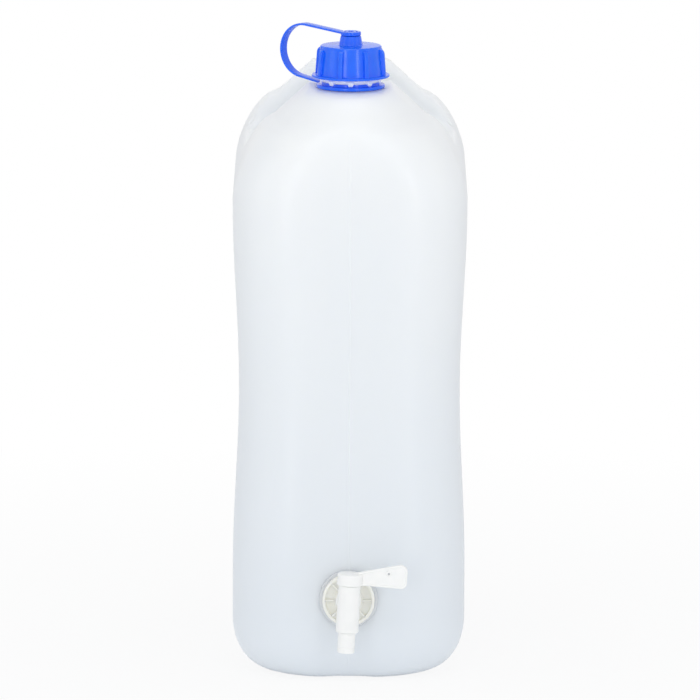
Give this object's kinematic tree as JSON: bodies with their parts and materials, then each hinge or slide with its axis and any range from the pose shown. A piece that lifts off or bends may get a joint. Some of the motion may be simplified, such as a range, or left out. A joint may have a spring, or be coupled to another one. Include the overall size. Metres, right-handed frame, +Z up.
{
  "type": "carboy with spigot",
  "caption": "Upright rectangular blow-moulded canister with a carrying handle, tethered ribbed screw cap and a lever tap low on its narrow front.",
  "frame": {"origin": "on the floor, at the middle of the overall box", "axes": "+Z up, the narrow front with the tap faces -Y, +X to the right seen from the front"},
  "size_m": [0.1742, 0.3472, 0.4837],
  "materials": {
    "natural_polyethylene": "translucent natural, satin",
    "blue_plastic": "moulded, semi-gloss",
    "seal_foam": "expanded polyethylene",
    "natural_bushing": "natural, satin",
    "black_rubber": "matt",
    "white_plastic": "moulded, semi-gloss"
  },
  "bodies": {
    "container": {"canister": "natural_polyethylene", "cap_tether": "blue_plastic", "tap_collar": "natural_bushing", "tap_gasket": "black_rubber", "tap_body": "white_plastic"},
    "seal_disc": {"cap_seal": "seal_foam"},
    "closure": {"screw_cap": "blue_plastic"},
    "plug": {"tap_plug": "white_plastic", "plug_o_ring_upper": "black_rubber", "plug_o_ring_lower": "black_rubber"}
  },
  "joints": [
    {"name": "cap_rise", "type": "slide", "parent": "container", "child": "seal_disc", "axis": [0, 0, 1], "range_m": [0, 0.0225], "deforming": ["cap_tether"]},
    {"name": "cap_turn", "type": "hinge", "parent": "seal_disc", "child": "closure", "pos_m": [0, -0.07335, 0.46], "axis": [0, 0, 1], "range_deg": [0, 1620]},
    {"name": "tap_turn", "type": "hinge", "parent": "container", "child": "plug", "pos_m": [0, -0.16435, 0.0645], "axis": [-0.0523, 0, -0.9986], "range_deg": [0, 90]}
  ],
  "couplings": [
    {"joint": "cap_rise", "follows": "cap_turn", "m_per_rad": 0.00079577}
  ]
}
